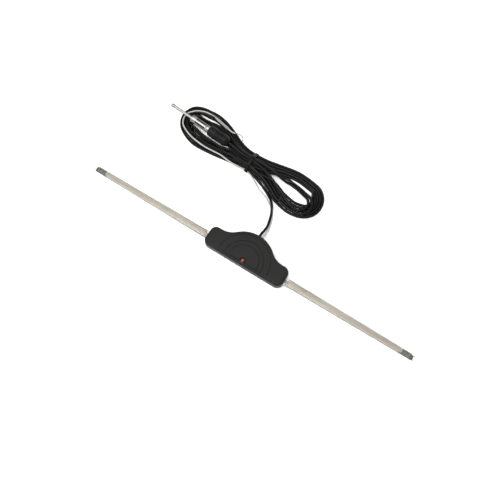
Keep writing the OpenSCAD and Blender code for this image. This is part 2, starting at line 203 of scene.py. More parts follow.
# The seventh is loose in the right lobe too, goes round on the first six, and then leads to the plug
SEVENTH_TURN = [
    (64.4, 0.95, 4.2), (65, 0.95, 4.2), (66, 0.8, 4.2), (66.6, 0.75, 4.2), (67.3, 1.25, 4.2),
    (68, 1.5, 4.6), (68.6, 1.4, 5.8), (69.2, 1.2, 7.2), (70, 0.95, 7.5), (71, 1.25, 7.4), (72, 1.7, 7),
    (72.5, 1.95, 6.5), (73, 2.2, 5.1), (73.5, 2.4, 4.1), (74, 2.5, 3.9), (76, 2.5, 3.9), (78, 2.5, 3.9),
    (79, 2.55, 3.9), (80, 2.65, 3.9), (81, 2.75, 3.9), (82, 2.6, 3.9), (83, 2.2, 3.9), (84, 2.2, 3.9),
    (85, 2.5, 3.9), (86, 2.6, 4.5), (86.5, 2.7, 6.1), (87, 2.75, 7.5), (88, 2.6, 7.7), (89, 2.5, 7.7),
    (90, 3.2, 7.8), (90.5, 4.2, 7.8), (91, 5.1, 5.6), (91.4, 5.45, 2.6)]
TAIL_ROUTE = [(-4, 85.8, 1.4), (2, 85.1, 1.4), (8, 83.9, 1.8), (14, 82, 2.8)]
TAIL_ROUTE += [(p.x, p.y, 4.2) for p in circle(14.6, 72.2, 9.1, (60, 36, 12, -14, -42, -70, -98))]
TAIL_ROUTE += [
    (7, 64.6, 4.3), (0.5, 67.6, 4.6), (-6, 70.8, 5.6), (-13, 74.2, 7), (-20, 77.4, 7.4), (-28, 80.8, 7.6),
    (-38, 83.8, 7.7), (-51.5, 85.4, 7.9), (-62, 86.1, 7.8), (-72, 87.6, 8.3), (-77, 88.5, 8.8), PLUG_AT]


def outer_lane(t):
    """The place on the outermost lane at station t."""
    i = int(t % STATIONS)
    near = [OUTER_LANE[(i + k) % STATIONS] for k in (-1, 0, 1, 2)]
    return catmull(*near, t % 1)


def in_lane(t, lane):
    """The place at station t, lane lanes inside the outermost one."""
    near = 0.3
    ahead = (outer_lane(t + near) - outer_lane(t - near)).normalized()
    return outer_lane(t) + Vector((ahead.y, -ahead.x)) * lane * LANE_PITCH


def hump(x, a, b, c, d):
    """0 outside a to d, 1 from b to c."""
    return smoothstep(x, a, b) * (1 - smoothstep(x, c, d))


def lane_of(turn, t):
    """Each turn's own lane, with its shifts, and one lane further in where the turn ends."""
    shift = sum(moves[turn] * hump(t, *stretch) for stretch, moves in SHIFTS)
    return turn + smoothstep(t, *NEXT_LANE) + shift


def strand_height(t, turn, lane, x):
    """On the floor, a little higher where the tie passes under, and on top where the lobes cross."""
    z = COAX_D / 2 + TIE_RISE * (1 - smoothstep(abs(x - TIE_X), *TIE_REACH))
    if turn in COME_DOWN_X and BACK_START < t < BACK_END:
        z += COAX_D * hump(x, *CLIMB_X, *COME_DOWN_X[turn])
    if turn == 4 and BACK_START < t < PAST_TIE:
        z += COAX_D * smoothstep(x, *FIFTH_CLIMB_X)
    if turn == 4 and PAST_TIE <= t < BACK_END:
        # It rolls off the strand in lane 3 as it moves from there to the floor in lane 4
        aside = min(1, max(0, lane - 3)) if t > SLIDES_OFF else 0
        z += COAX_D * math.sqrt(1 - aside * aside)
    return z


def hank_line():
    """The whole coaxial lead: from the housing, through five turns on the floor and two on top, to the
    plug."""
    knots = [Vector(p) for p in COAX_ROUTE]
    for turn in range(FULL_TURNS):
        stop = STATIONS if turn < FULL_TURNS - 1 else LAST_FLAT
        for knot in range(math.ceil(KNOTS_PER_STATION * stop)):
            t = knot / KNOTS_PER_STATION
            lane = lane_of(turn, t)
            place = in_lane(t, lane)
            knots.append(Vector((*place, strand_height(t, turn, lane, place.x))))
    for turn, loose in ((SIXTH_TURN, FIRST_LOOSE), (SEVENTH_TURN, TAIL_ROUTE)):
        knots += [Vector((*in_lane(t, lane), z)) for t, lane, z in turn]
        knots += [Vector(p) for p in loose]
    return smooth(knots, 4)


coax_line = hank_line()
coax = cord_curve("coax_cord", coax_line, COAX_D)


# ---------------------------------------------------------------- power lead, its sleeve and its bare end
POWER_ROUTE = [
    POWER_EXIT, (3.2, 22, 5.7), (3.3, 27, 3.8), (2.7, 33, 1.5), (0.9, 40, 0.85), (-1.5, 46, 0.8),
    (-6.4, 51.8, 0.8), (-12.6, 56.4, 0.85), (-18.7, 60.2, 0.85), (-24.8, 62.3, 0.85), (-31, 65, 0.85),
    (-37.4, 68.9, 0.85), (-44, 72.3, 1), (-51.5, 74.4, 1.6), (-60, 73.9, 2.6), (-68, 73.2, 3.5),
    (-75, 73.7, 3.9), (-83, 74.9, 3.7), (-91, 74.7, 3.6), (-100, 74.2, 3.6), (-107.5, 74.5, 3.6),
    (-115.5, 75.5, 3.6), (-123, 77, 3.6), (-131.5, 80.2, 3.6), (-138.3, 84.7, 3.6), (-141.8, 91.5, 3.6),
    (-141.2, 98.4, 3.6), (-137, 104, 3.6), (-131.7, 107.5, 3.6), (-125, 109.9, 3.7), (-118.5, 110.2, 3.7),
    (-111.9, 109.3, 4.3), (-102.7, 107, 4.5), (-93, 105, 4.4), (-88.5, 104.2, 3.9), (-84.5, 104.7, 3.7)]
BARE_ROUTE = [
    (-84.5, 104.7, 3.7), (-81, 106.4, 3), (-77.5, 106.6, 2.5), (-74.8, 104.9, 3), (-73, 102, 3.6),
    (-73.2, 100, 3.75)]
SLEEVE_ROUTE = [
    (-112.5, 109.3, 4.4), (-108, 108.3, 4.5), (-102.7, 107, 4.5), (-97, 105.8, 4.5), (-92.5, 104.9, 4.4)]

power_line = smooth(POWER_ROUTE, 8)
power = cord_curve("power_cord", power_line, POWER_D)


# ---------------------------------------------------------------- materials
def material(name):
    mat = bpy.data.materials.new(name)
    mat.use_nodes = True
    nodes, links = mat.node_tree.nodes, mat.node_tree.links
    return mat, nodes, links, nodes["Principled BSDF"]


def texture(nodes, links, kind, scale, stretch=(1, 1, 1), **settings):
    """A procedural texture in the piece's own coordinates, which are metres."""
    place = nodes.new("ShaderNodeTexCoord")
    mapping = nodes.new("ShaderNodeMapping")
    mapping.inputs["Scale"].default_value = stretch
    node = nodes.new("ShaderNodeTex" + kind)
    links.new(place.outputs["Object"], mapping.inputs["Vector"])
    links.new(mapping.outputs["Vector"], node.inputs["Vector"])
    node.inputs["Scale"].default_value = scale
    for key, value in settings.items():
        node.inputs[key.replace("_", " ")].default_value = value
    return node


def ramp(nodes, links, source, low_rgb, high_rgb, start=0.3, end=0.7):
    """A colour that goes from low_rgb to high_rgb while a texture's value goes from start to end."""
    node = nodes.new("ShaderNodeValToRGB")
    links.new(source, node.inputs["Fac"])
    first, last = node.color_ramp.elements[0], node.color_ramp.elements[1]
    first.position, last.position = start, end
    first.color, last.color = (*low_rgb, 1), (*high_rgb, 1)
    return node.outputs["Color"]


def spread(nodes, links, source, low, high):
    """A number that goes from low to high over the middle of a texture's values."""
    node = nodes.new("ShaderNodeMapRange")
    links.new(source, node.inputs["Value"])
    node.inputs["From Min"].default_value, node.inputs["From Max"].default_value = 0.3, 0.7
    node.inputs["To Min"].default_value, node.inputs["To Max"].default_value = low, high
    return node.outputs["Result"]


def bump(nodes, links, source, depth_mm):
    node = nodes.new("ShaderNodeBump")
    links.new(source, node.inputs["Height"])
    node.inputs["Strength"].default_value = 1
    node.inputs["Distance"].default_value = depth_mm * MM
    return node.outputs["Normal"]


def shade(rgb, amount):
    return tuple(min(1.0, c * amount) for c in rgb)


def plain(name, rgb, roughness, vary, patch_mm, grain_mm, grain_depth, streak=(1, 1, 1), **sockets):
    """Moulded, metal or rubber surface: patchy colour and gloss, and a fine grain.

    vary is how far the colour strays, patch_mm and grain_mm are the sizes of patches and grains, grain_depth
    is in mm, and streak stretches both. Other settings go to the shader's sockets of the same names.
    """
    mat, nodes, links, shader = material(name)
    patch = texture(nodes, links, "Noise", 1 / (patch_mm * MM), streak, Detail=3, Roughness=0.6)
    grain = texture(nodes, links, "Noise", 1 / (grain_mm * MM), streak, Detail=2)
    color = ramp(nodes, links, patch.outputs["Fac"], shade(rgb, 1 - vary), shade(rgb, 1 + vary))
    links.new(color, shader.inputs["Base Color"])
    links.new(spread(nodes, links, patch.outputs["Fac"], roughness * 0.85, min(1, roughness * 1.15)),
              shader.inputs["Roughness"])
    links.new(bump(nodes, links, grain.outputs["Fac"], grain_depth), shader.inputs["Normal"])
    for key, value in sockets.items():
        shader.inputs[key.replace("_", " ")].default_value = value
    return mat


# Each row: colour, roughness, vary, patch_mm, grain_mm and grain_depth, as plain() takes them, and the rest.
PLAIN_LOOKS = {
    "cover_plastic": ((0.0075, 0.0075, 0.0072), 0.42, 0.1, 14, 0.35, 0.012, {"Specular_IOR_Level": 0.13}),
    "base_plastic": ((0.018, 0.018, 0.0185), 0.5, 0.12, 8, 0.4, 0.02, {}),
    "screw_steel": ((0.62, 0.62, 0.6), 0.3, 0.08, 1.5, 0.1, 0.004, {"Metallic": 1.0}),
    "chip_black": ((0.022, 0.022, 0.024), 0.5, 0.15, 1, 0.1, 0.006, {}),
    "ferrite": ((0.07, 0.06, 0.052), 0.6, 0.2, 1.2, 0.12, 0.02, {}),
    "capacitor_can": ((0.72, 0.72, 0.74), 0.28, 0.05, 2, 0.1, 0.004, {"streak": (1, 1, 8), "Metallic": 1.0}),
    "chip_ceramic": ((0.42, 0.28, 0.16), 0.45, 0.15, 0.8, 0.08, 0.004, {}),
    "tinned_wire": ((0.2, 0.197, 0.188), 0.4, 0.1, 0.6, 0.12, 0.02, {"Metallic": 1.0}),
    "bush_rubber": ((0.014, 0.014, 0.014), 0.6, 0.15, 3, 0.25, 0.02, {}),
    "brass_lug": ((0.72, 0.52, 0.24), 0.3, 0.1, 1.2, 0.1, 0.005, {"Metallic": 1.0}),
    "coax_jacket": ((0.0035, 0.0035, 0.0036), 0.34, 0.3, 12, 0.5, 0.012, {"Specular_IOR_Level": 0.12}),
    "tie_black": ((0.003, 0.003, 0.003), 0.45, 0.2, 2, 0.25, 0.015, {"Specular_IOR_Level": 0.12}),
    "power_jacket": ((0.37, 0.365, 0.35), 0.35, 0.08, 10, 0.5, 0.008, {"Specular_IOR_Level": 0.3}),
    "sleeve_grey": ((0.25, 0.248, 0.235), 0.5, 0.3, 2.2, 0.3, 0.02, {"Specular_IOR_Level": 0.3}),
    "grip_plastic": ((0.0035, 0.0038, 0.0038), 0.45, 0.15, 5, 0.3, 0.015, {"Specular_IOR_Level": 0.14}),
    "nickel": ((0.28, 0.278, 0.266), 0.4, 0.05, 3, 0.12, 0.003,
               {"Metallic": 1.0, "Specular_Tint": (0.12, 0.12, 0.115, 1)}),
    "insulator_black": ((0.006, 0.006, 0.0065), 0.5, 0.12, 2, 0.2, 0.01, {"Specular_IOR_Level": 0.2}),
}
MATERIALS = {name: plain(name, *look, **extra) for name, (*look, extra) in PLAIN_LOOKS.items()}


def foam_tape():
    """Off-white closed-cell foam."""
    mat, nodes, links, shader = material("foam_tape")
    cells = texture(nodes, links, "Voronoi", 1 / (0.55 * MM))
    patch = texture(nodes, links, "Noise", 1 / (6 * MM), Detail=3)
    links.new(ramp(nodes, links, patch.outputs["Fac"], (0.7, 0.69, 0.64), (0.84, 0.83, 0.79)),
              shader.inputs["Base Color"])
    links.new(bump(nodes, links, cells.outputs["Distance"], 0.12), shader.inputs["Normal"])
    shader.inputs["Roughness"].default_value = 0.85
    return mat


def circuit_board():
    """Green solder mask with lighter copper tracks under it."""
    mat, nodes, links, shader = material("circuit_board")
    tracks = texture(nodes, links, "Brick", 1 / (2.6 * MM), Mortar_Size=0.02)
    tracks.inputs["Color1"].default_value = (0.016, 0.1, 0.04, 1)
    tracks.inputs["Color2"].default_value = (0.02, 0.13, 0.05, 1)
    tracks.inputs["Mortar"].default_value = (0.06, 0.26, 0.1, 1)
    grain = texture(nodes, links, "Noise", 1 / (0.4 * MM), Detail=2)
    links.new(tracks.outputs["Color"], shader.inputs["Base Color"])
    links.new(spread(nodes, links, grain.outputs["Fac"], 0.25, 0.4), shader.inputs["Roughness"])
    links.new(bump(nodes, links, tracks.outputs["Fac"], 0.03), shader.inputs["Normal"])
    return mat


def led_red():
    """Red dyed epoxy, unlit."""
    mat, nodes, links, shader = material("led_red")
    swirl = texture(nodes, links, "Noise", 1 / (2.5 * MM), Detail=1)
    color = ramp(nodes, links, swirl.outputs["Fac"], (0.075, 0.008, 0.009), (0.14, 0.022, 0.024), 0.35, 0.65)
    links.new(color, shader.inputs["Base Color"])
    links.new(spread(nodes, links, swirl.outputs["Fac"], 0.12, 0.2), shader.inputs["Roughness"])
    shader.inputs["Coat Weight"].default_value = 0.1
    shader.inputs["Coat Roughness"].default_value = 0.08
    shader.inputs["Subsurface Weight"].default_value = 0.15
    shader.inputs["Subsurface Radius"].default_value = (0.002, 0.0004, 0.0003)
    return mat


def strip_sleeve():
    """Clear flexible PVC, a little milky, with faint drawing lines along it."""
    mat, nodes, links, shader = material("strip_sleeve")
    lines = texture(nodes, links, "Noise", 1 / (0.5 * MM), (0.02, 1, 1), Detail=2)
    haze = texture(nodes, links, "Noise", 1 / (7 * MM), (0.4, 1, 1), Detail=3)
    links.new(ramp(nodes, links, haze.outputs["Fac"], (0.86, 0.855, 0.83), (0.93, 0.93, 0.915)),
              shader.inputs["Base Color"])
    links.new(spread(nodes, links, haze.outputs["Fac"], 0.14, 0.24), shader.inputs["Roughness"])
    links.new(bump(nodes, links, lines.outputs["Fac"], 0.02), shader.inputs["Normal"])
    shader.inputs["Transmission Weight"].default_value = 0.96
    shader.inputs["IOR"].default_value = 1.38
    return mat


def strip_conductor():
    """Champagne metallised film with fine lengthwise lines."""
    mat, nodes, links, shader = material("strip_conductor")
    lines = texture(nodes, links, "Noise", 1 / (0.35 * MM), (0.01, 1, 1), Detail=2)
    patch = texture(nodes, links, "Noise", 1 / (16 * MM), (0.5, 1, 1), Detail=3)
    links.new(ramp(nodes, links, patch.outputs["Fac"], (0.375, 0.335, 0.275), (0.45, 0.41, 0.345)),
              shader.inputs["Base Color"])
    links.new(spread(nodes, links, lines.outputs["Fac"], 0.42, 0.58), shader.inputs["Roughness"])
    links.new(bump(nodes, links, lines.outputs["Fac"], 0.02), shader.inputs["Normal"])
    shader.inputs["Metallic"].default_value = 0.25
    return mat


def end_band_grey():
    """Dark grey woven shield: fine crossed ribs."""
    mat, nodes, links, shader = material("end_band_grey")
    weave = texture(nodes, links, "Checker", 1 / (0.45 * MM))
    weave.inputs["Color1"].default_value = (0.075, 0.077, 0.068, 1)
    weave.inputs["Color2"].default_value = (0.125, 0.127, 0.115, 1)
    patch = texture(nodes, links, "Noise", 1 / (1.6 * MM), Detail=3)
    links.new(weave.outputs["Color"], shader.inputs["Base Color"])
    links.new(spread(nodes, links, patch.outputs["Fac"], 0.45, 0.65), shader.inputs["Roughness"])
    links.new(bump(nodes, links, weave.outputs["Fac"], 0.06), shader.inputs["Normal"])
    return mat


for build in (foam_tape, circuit_board, led_red, strip_sleeve, strip_conductor, end_band_grey):
    MATERIALS[build.__name__] = build()


def finish_piece(obj, slot, body=HOUSING, replaces=()):
    """Gives a piece its material, parents it to the body it rides on, if any, and hides the CAD nodes it
    stands in for.
    """
    obj.data.materials.clear()
    obj.data.materials.append(MATERIALS[slot])
    if body:
        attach(obj, body)
    if replaces:
        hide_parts(*replaces)
    return obj


# ---------------------------------------------------------------- mesh helpers
MERGE_MM = 0.002


def mesh_object(name, points, faces, smooth_faces=True):
    """Points in mm."""
    mesh = bpy.data.meshes.new(name)
    mesh.from_pydata([mm(*p) for p in points], [], faces)
    mesh.polygons.foreach_set("use_smooth", [smooth_faces] * len(mesh.polygons))
    mesh.update()
    obj = bpy.data.objects.new(name, mesh)
    bpy.context.scene.collection.objects.link(obj)
    return obj


def tidy(obj):
    """Merges doubled points and turns all faces outward."""
    form = bmesh.new()
    form.from_mesh(obj.data)
    bmesh.ops.remove_doubles(form, verts=form.verts, dist=MERGE_MM * MM)
    bmesh.ops.recalc_face_normals(form, faces=form.faces)
    form.to_mesh(obj.data)
    form.free()


def loft(name, rings, closed_ends=True):
    """Joins rings of equal point count, each a closed loop, into one skin."""
    count = len(rings[0])
    points = [p for ring in rings for p in ring]
    faces = []
    for i in range(len(rings) - 1):
        for k in range(count):
            a, b = i * count + k, i * count + (k + 1) % count
            faces.append((a, b, b + count, a + count))
    if closed_ends:
        faces.append(tuple(reversed(range(count))))
        start = (len(rings) - 1) * count
        faces.append(tuple(range(start, start + count)))
    obj = mesh_object(name, points, faces)
    tidy(obj)
    return obj


def apply_modifiers(obj):
    """Makes the shape that the modifiers give into the piece's own mesh."""
    bpy.context.view_layer.update()
    graph = bpy.context.evaluated_depsgraph_get()
    mesh = bpy.data.meshes.new_from_object(obj.evaluated_get(graph))
    obj.modifiers.clear()
    obj.data = mesh


def cut(obj, name, low, high):
    """Cuts a box, given by two corners in mm, out of obj."""
    xs, ys, zs = zip(low, high)
    points = [(x, y, z) for x in xs for y in ys for z in zs]
    faces = [(0, 1, 3, 2), (4, 6, 7, 5), (0, 4, 5, 1), (2, 3, 7, 6), (0, 2, 6, 4), (1, 5, 7, 3)]
    tool = mesh_object(name, points, faces, False)
    tidy(tool)
    modifier = obj.modifiers.new(name, "BOOLEAN")
    modifier.operation = "DIFFERENCE"
    modifier.solver = "EXACT"
    modifier.object = tool
    apply_modifiers(obj)
    bpy.data.objects.remove(tool)


def sharpen(obj, angle):
    """Smooth shading with sharp edges where faces meet at more than the angle."""
    limit = math.radians(angle)
    form = bmesh.new()
    form.from_mesh(obj.data)
    for edge in form.edges:
        edge.smooth = not (len(edge.link_faces) == 2 and edge.calc_face_angle() > limit)
    for face in form.faces:
        face.smooth = True
    form.to_mesh(obj.data)
    form.free()


# ---------------------------------------------------------------- housing cover
def arc(cx, cy, r, start, end, steps):
    """Points on a circle from start to end, in degrees."""
    angles = [math.radians(start + (end - start) * k / steps) for k in range(steps + 1)]
    return [(cx + r * math.cos(a), cy + r * math.sin(a)) for a in angles]


def outline(inset):
    """The housing's outline, a distance inside its outer edge, anticlockwise from the front right."""
    x, r = WALL_X - CORNER_R, CORNER_R - inset
    reach, rise = BULGE_R + FLANK_R, WING_Y + FLANK_R - LED_Y
    flank_x = math.sqrt(reach * reach - rise * rise)
    turn = math.degrees(math.atan2(rise, flank_x))
    right = arc(x, FRONT_Y + CORNER_R, r, -90, 0, 14)
    right += arc(x, WING_Y - CORNER_R, r, 0, 90, 14)
    right += arc(flank_x, WING_Y + FLANK_R, FLANK_R + inset, 270, 180 + turn, 14)
    right += arc(0, LED_Y, BULGE_R - inset, turn, 90, 30)
    left = [(-px, py) for px, py in reversed(right[:-1])]
    return right + left


def reach_at(contour, angles):
    """How far the contour is from the lamp, in each direction."""
    polar = sorted((math.atan2(y - LED_Y, x), math.hypot(x, y - LED_Y), x, y) for x, y in contour)
    closed = [(polar[-1][0] - math.tau, *polar[-1][2:])] + [(p[0], *p[2:]) for p in polar]
    closed.append((polar[0][0] + math.tau, *polar[0][2:]))
    out, i = [], 0
    for angle in angles:
        while closed[i + 1][0] < angle:
            i += 1
        (_, ax, ay), (_, bx, by) = closed[i], closed[i + 1]
        ux, uy = math.cos(angle), math.sin(angle)
        dx, dy = bx - ax, by - ay
        across = ux * dy - uy * dx
        if abs(across) > 1e-9:
            out.append((ax * dy - (ay - LED_Y) * dx) / across)
        else:
            out.append(math.hypot(ax, ay - LED_Y))
    return out


def top_height(r, edge):
    """Height of the top at distance r from the lamp: three soft round steps, fading out at the edge."""
    steps = sum(1 - smoothstep(r, ring - STEP_SOFT, ring + STEP_SOFT) for ring in STEP_RADII)
    return CASE_H + STEP_H * steps * smoothstep(edge - r, 0, STEP_FADE)


def cover():
    """The black top shell: one skin up the outside, over the top, down the lamp hole and back inside."""
    base = outline(0)
    front = [(x, FRONT_Y) for x in (-33, -27, -21, -15, -10, -6, -3, 0, 3, 6, 10, 15, 21, 27, 33)]
    wings = [(sx * WALL_X, y) for sx in (-1, 1) for y in (-9, -6)]
    angles = sorted(math.atan2(y - LED_Y, x) for x, y in base + front + wings)
    angles = [a for i, a in enumerate(angles) if i == 0 or a - angles[i - 1] > 0.002]

    def ring(inset, z):
        return [(r * math.cos(a), LED_Y + r * math.sin(a), z)
                for a, r in zip(angles, reach_at(outline(inset), angles))]

    led_hole, ceiling = 2.75, CASE_H - WALL
    shoulder, lean = CASE_H - 2.1, 0.12
    rings = [ring(WALL, ceiling), ring(WALL, PAD_T), ring(0.35, PAD_T), ring(0.1, PAD_T + 0.1),
             ring(0, PAD_T + 0.35), ring(0, PAD_T + 3), ring(0.05, PAD_T + 6), ring(lean, shoulder)]
    # A slim flat land round the top, a fillet below it and a shallow groove inside it
    fillet_in, fillet_up, fillet_steps, groove_end = 1.5, 1.9, 9, 2.75
    for turn in range(1, fillet_steps):
        a = math.radians(90 * turn / fillet_steps)
        rings.append(ring(lean + fillet_in * (1 - math.cos(a)), shoulder + fillet_up * math.sin(a)))
    rings += [ring(1.95, CASE_H - 0.2), ring(2.2, CASE_H - 0.28), ring(2.45, CASE_H - 0.22),
              ring(groove_end, CASE_H)]
    land = reach_at(outline(groove_end), angles)
    radii = [led_hole, led_hole + 0.3, 4.5, 7, 10, 13, 18, 23.5, 30, 33, 36, 40]
    radii += [r + d for r in STEP_RADII for d in (-0.6, -0.35, -0.2, 0, 0.2, 0.35, 0.6)]
    for radius in sorted(radii, reverse=True):
        loop = []
        for a, edge in zip(angles, land):
            r = min(radius, edge - 0.05)
            loop.append((r * math.cos(a), LED_Y + r * math.sin(a), top_height(r, edge)))
        rings.append(loop)
    # The edge of the lamp hole is eased, and its wall goes down to the ceiling
    rings[-1] = [(x, y, z - 0.25) for x, y, z in rings[-1]]
    rings.append([(led_hole * math.cos(a), LED_Y + led_hole * math.sin(a), ceiling) for a in angles])
    rings.append(rings[0])
    obj = loft("cover_shell", rings, closed_ends=False)
    notch = STRIP_ROOT_W / 2 + 0.25
    for side, name in ((-1, "left_notch"), (1, "right_notch")):
        xs = sorted((side * (WALL_X - 3), side * (WALL_X + 1)))
        cut(obj, name, (xs[0], STRIP_Y - notch, 0), (xs[1], STRIP_Y + notch, PAD_T + STRIP_T + 0.2))
    cords_left, cords_right, cords_top = -2.2, 5.4, 8.2
    cut(obj, "cord_notch", (cords_left, CASE_D / 2 - 4, 0), (cords_right, CASE_D / 2 + 1, cords_top))
    sharpen(obj, 35)
    return finish_piece(obj, "cover_plastic", replaces=["top_cover"])


cover()


def lamp():
    """A 5 mm lamp: flanged body and a round dome, turned about the vertical."""
    body_r, dome_from, dome_h, sides = 2.5, 10.6, 2.45, 48
    profile = [(2.85, 5.85), (2.9, 5.95), (2.9, 6.6), (body_r, 6.7), (body_r, dome_from)]
    for degrees in range(8, 90, 8):
        a = math.radians(degrees)
        profile.append((body_r * math.cos(a), dome_from + dome_h * math.sin(a)))
    profile.append((0.02, dome_from + dome_h))
    rings = [[(r * math.cos(a), LED_Y + r * math.sin(a), z)
              for a in (math.tau * k / sides for k in range(sides))] for r, z in profile]
    obj = loft("indicator_lamp", rings)
    sharpen(obj, 40)
    return finish_piece(obj, "led_red", replaces=["led_lens"])


lamp()


# ---------------------------------------------------------------- flexible strips
SLEEVE_CORNER, FILM_CORNER = 1.15, 0.4
FILM_INSET, SLEEVE_WALL = 0.65, 0.65


def strip_half(x, inset=0.0):
    """Half the strip's width at x, less an inset."""
    width = STRIP_ROOT_W + (STRIP_TIP_W - STRIP_ROOT_W) * (x - WALL_X) / (TIP_X - WALL_X)
    return width / 2 - inset


def flat_section(side, x, half, low, high, corner, steps=5):
    """A rounded flat section across the strip at x, as points in mm."""
    half = max(half, corner + 0.02)
    r = min(corner, (high - low) / 2 - 0.01)
    points = []
    for cy, cz, start in ((half - r, low + r, -90), (half - r, high - r, 0),
                          (r - half, high - r, 90), (r - half, low + r, 180)):
        for k in range(steps + 1):
            a = math.radians(start + 90 * k / steps)
            points.append((side * x, STRIP_Y + cy + r * math.cos(a), cz + r * math.sin(a)))
    return points


def stations(start, end, step=4.0):
    """Even places from start to end, about a step apart."""
    count = max(1, round((end - start) / step))
    return [start + (end - start) * k / count for k in range(count + 1)]


def clear_sleeve(side, name, low, high):
    """The clear sleeve, with a rounded tip."""
    sections = [(x, 0) for x in stations(36, TIP_X - 1.6)]
    sections += [(TIP_X - back, pull) for back, pull in ((0.9, 0.2), (0.35, 0.55), (0.08, 1.0), (0, 1.3))]
    rings = [flat_section(side, x, strip_half(x, pull), low + pull / 2, high - pull / 2, SLEEVE_CORNER)
             for x, pull in sections]
    piece = loft(name + "_strip_sleeve", rings)
    return finish_piece(piece, "strip_sleeve", None, [name + "_sleeve_root", name + "_sleeve"])


def conductor_film(side, name, low, high):
    """The beige conductor in the sleeve, narrowed to a tab at both ends."""
    tab_half, wide_from, wide_to = 1.5, WALL_X + 3.6, BAND_START - 2.6
    tab = [x for x in stations(33, BAND_START - 0.1, 3) if not wide_from <= x <= wide_to]
    tab += [wide_from - 0.02, wide_to + 0.02]
    widths = [(x, tab_half) for x in tab]
    widths += [(x, strip_half(x, FILM_INSET)) for x in stations(wide_from, wide_to)]
    piece = loft(name + "_strip_film", [
        flat_section(side, x, half, low + SLEEVE_WALL, high - SLEEVE_WALL, FILM_CORNER, 3)
        for x, half in sorted(widths)])
    sharpen(piece, 40)
    return finish_piece(piece, "strip_conductor", None, [name + "_conductor_root", name + "_conductor"])


def tip_band(side, name, low, high):
    """The dark grey band near the tip, in the sleeve."""
    low, high = low + SLEEVE_WALL, high - SLEEVE_WALL
    piece = loft(name + "_strip_band", [
        flat_section(side, x, strip_half(x, FILM_INSET), low, high, FILM_CORNER, 3)
        for x in stations(BAND_START, BAND_END, 1.6)])
    sharpen(piece, 40)
    return finish_piece(piece, "end_band_grey", None, [name + "_end_band"])


def under_tape(side, name, low):
    """The sticky tape under the strip."""
    piece = loft(name + "_strip_tape", [
        flat_section(side, x, strip_half(x, 0.8), 0, low, 0.12, 2) for x in stations(51.6, TIP_X - 1.5)])
    sharpen(piece, 40)
    return finish_piece(piece, "foam_tape", None, [name + "_tape"])


def strip(side, name):
    """One strip: its clear sleeve, conductor film, tip band and tape, each baked into place."""
    low, high = PAD_T, PAD_T + STRIP_T
    pieces = (clear_sleeve(side, name, low, high), conductor_film(side, name, low, high),
              tip_band(side, name, low, high), under_tape(side, name, low))
    for piece in pieces:
        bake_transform(piece)


strip(-1, "left")
strip(1, "right")


# ---------------------------------------------------------------- pieces on the cords
def tube_along(name, line, radii, sides=16):
    """A round tube along a line in mm, with a radius for each point."""
    rings = []
    for i, place in enumerate(line):
        ahead = (line[min(i + 1, len(line) - 1)] - line[max(i - 1, 0)]).normalized()
        across = ahead.cross(Vector((0, 0, 1))).normalized()
        over = across.cross(ahead)
        rings.append([place + radii[i] * (math.cos(a) * across + math.sin(a) * over)
                      for a in (math.tau * k / sides for k in range(sides))])
    return loft(name, rings)


def shrink_sleeve():
    """Grey tube shrunk over the lead, with pinched ends and slight waves."""
    line = smooth(SLEEVE_ROUTE, 12)
    last = len(line) - 1
    pinched_r, swell, pinched_points, wave = 1.02, 0.52, 7, 0.05
    radii = []
    for i in range(last + 1):
        from_end = min(i, last - i)
        radii.append(pinched_r + swell * smoothstep(from_end, 0, pinched_points) + wave * math.sin(i * 0.55))
    return finish_piece(tube_along("shrink_sleeve", line, radii), "sleeve_grey", replaces=["lead_sleeve"])


def bare_wire():
    """Twisted tinned strands that end in an open hook."""
    line = smooth(BARE_ROUTE, 10)
    wire_r, twist, end_r = 0.42, 0.05, 0.2
    radii = [wire_r + twist * math.sin(i * 1.7) for i in range(len(line))]
    radii[-1] = end_r
    piece = tube_along("bare_wire_end", line, radii, 12)
    return finish_piece(piece, "tinned_wire", replaces=["lead_bare_end"])


def band_section(strands, clearance, steps=96):
    """The tight loop round a bundle of strands seen end on: (y, z, radius)."""
    loop = []
    for k in range(steps):
        a = math.tau * k / steps
        uy, uz = math.cos(a), math.sin(a)
        outer = max(strands, key=lambda p: p[0] * uy + p[1] * uz + p[2])
        r = outer[2] + clearance
        loop.append((outer[0] + r * uy, outer[1] + r * uz))
    return loop


def cord_tie():
    """A thin moulded band, pulled tight round the strands, with rounded edges and a slightly uneven width."""
    coax_r, power_r, thickness = COAX_D / 2, POWER_D / 2, 0.7
    strands = [(y, z, coax_r) for y, z in ((77, 2.2), (78.3, 5), (79.65, 7.5), (85.4, 7.9), (88.25, 7.7),
                                           (89.7, 5), (95.4, 2.2))]
    strands.append((74.4, 1.6, power_r))
    # (place across the band in widths, height above the strands)
    edge = [(0.5, 0.02), (0.5, 0.4), (0.44, 0.62), (0.3, thickness)]
    profile = [(-across, rise) for across, rise in edge] + edge[::-1]
    inside_floor = thickness + 0.09
    rings = []
    for across, rise in profile:
        rings.append([
            (TIE_X + across * TIE_W * (1 + 0.05 * math.sin(k * 0.4)), y, max(z, inside_floor - rise))
            for k, (y, z) in enumerate(band_section(strands, rise))])
    rings.append(rings[0])
    return finish_piece(loft("hank_tie", rings, closed_ends=False), "tie_black", replaces=["cord_tie"])


sleeve_piece = shrink_sleeve()
wire_piece = bare_wire()
tie_piece = cord_tie()


# ---------------------------------------------------------------- aerial plug
PLUG_TURN = Matrix.Translation(PLUG_AT) @ Matrix.Rotation(math.radians(PLUG_YAW), 4, "Z")


def turned(name, profile, sides=56, ridges=None):
    """A piece turned about the plug's axis. The profile is (place along it, radius), and
    ridges(place, angle) adds to the radius."""
    rings = []
    for x, r in profile:
        ring = []
        for k in range(sides):
            a = math.tau * k / sides
            reach = r + (ridges(x, a) if ridges else 0)
            ring.append(PLUG_TURN @ Vector((x, reach * math.cos(a), reach * math.sin(a))))
        rings.append(ring)
    return loft(name, rings)


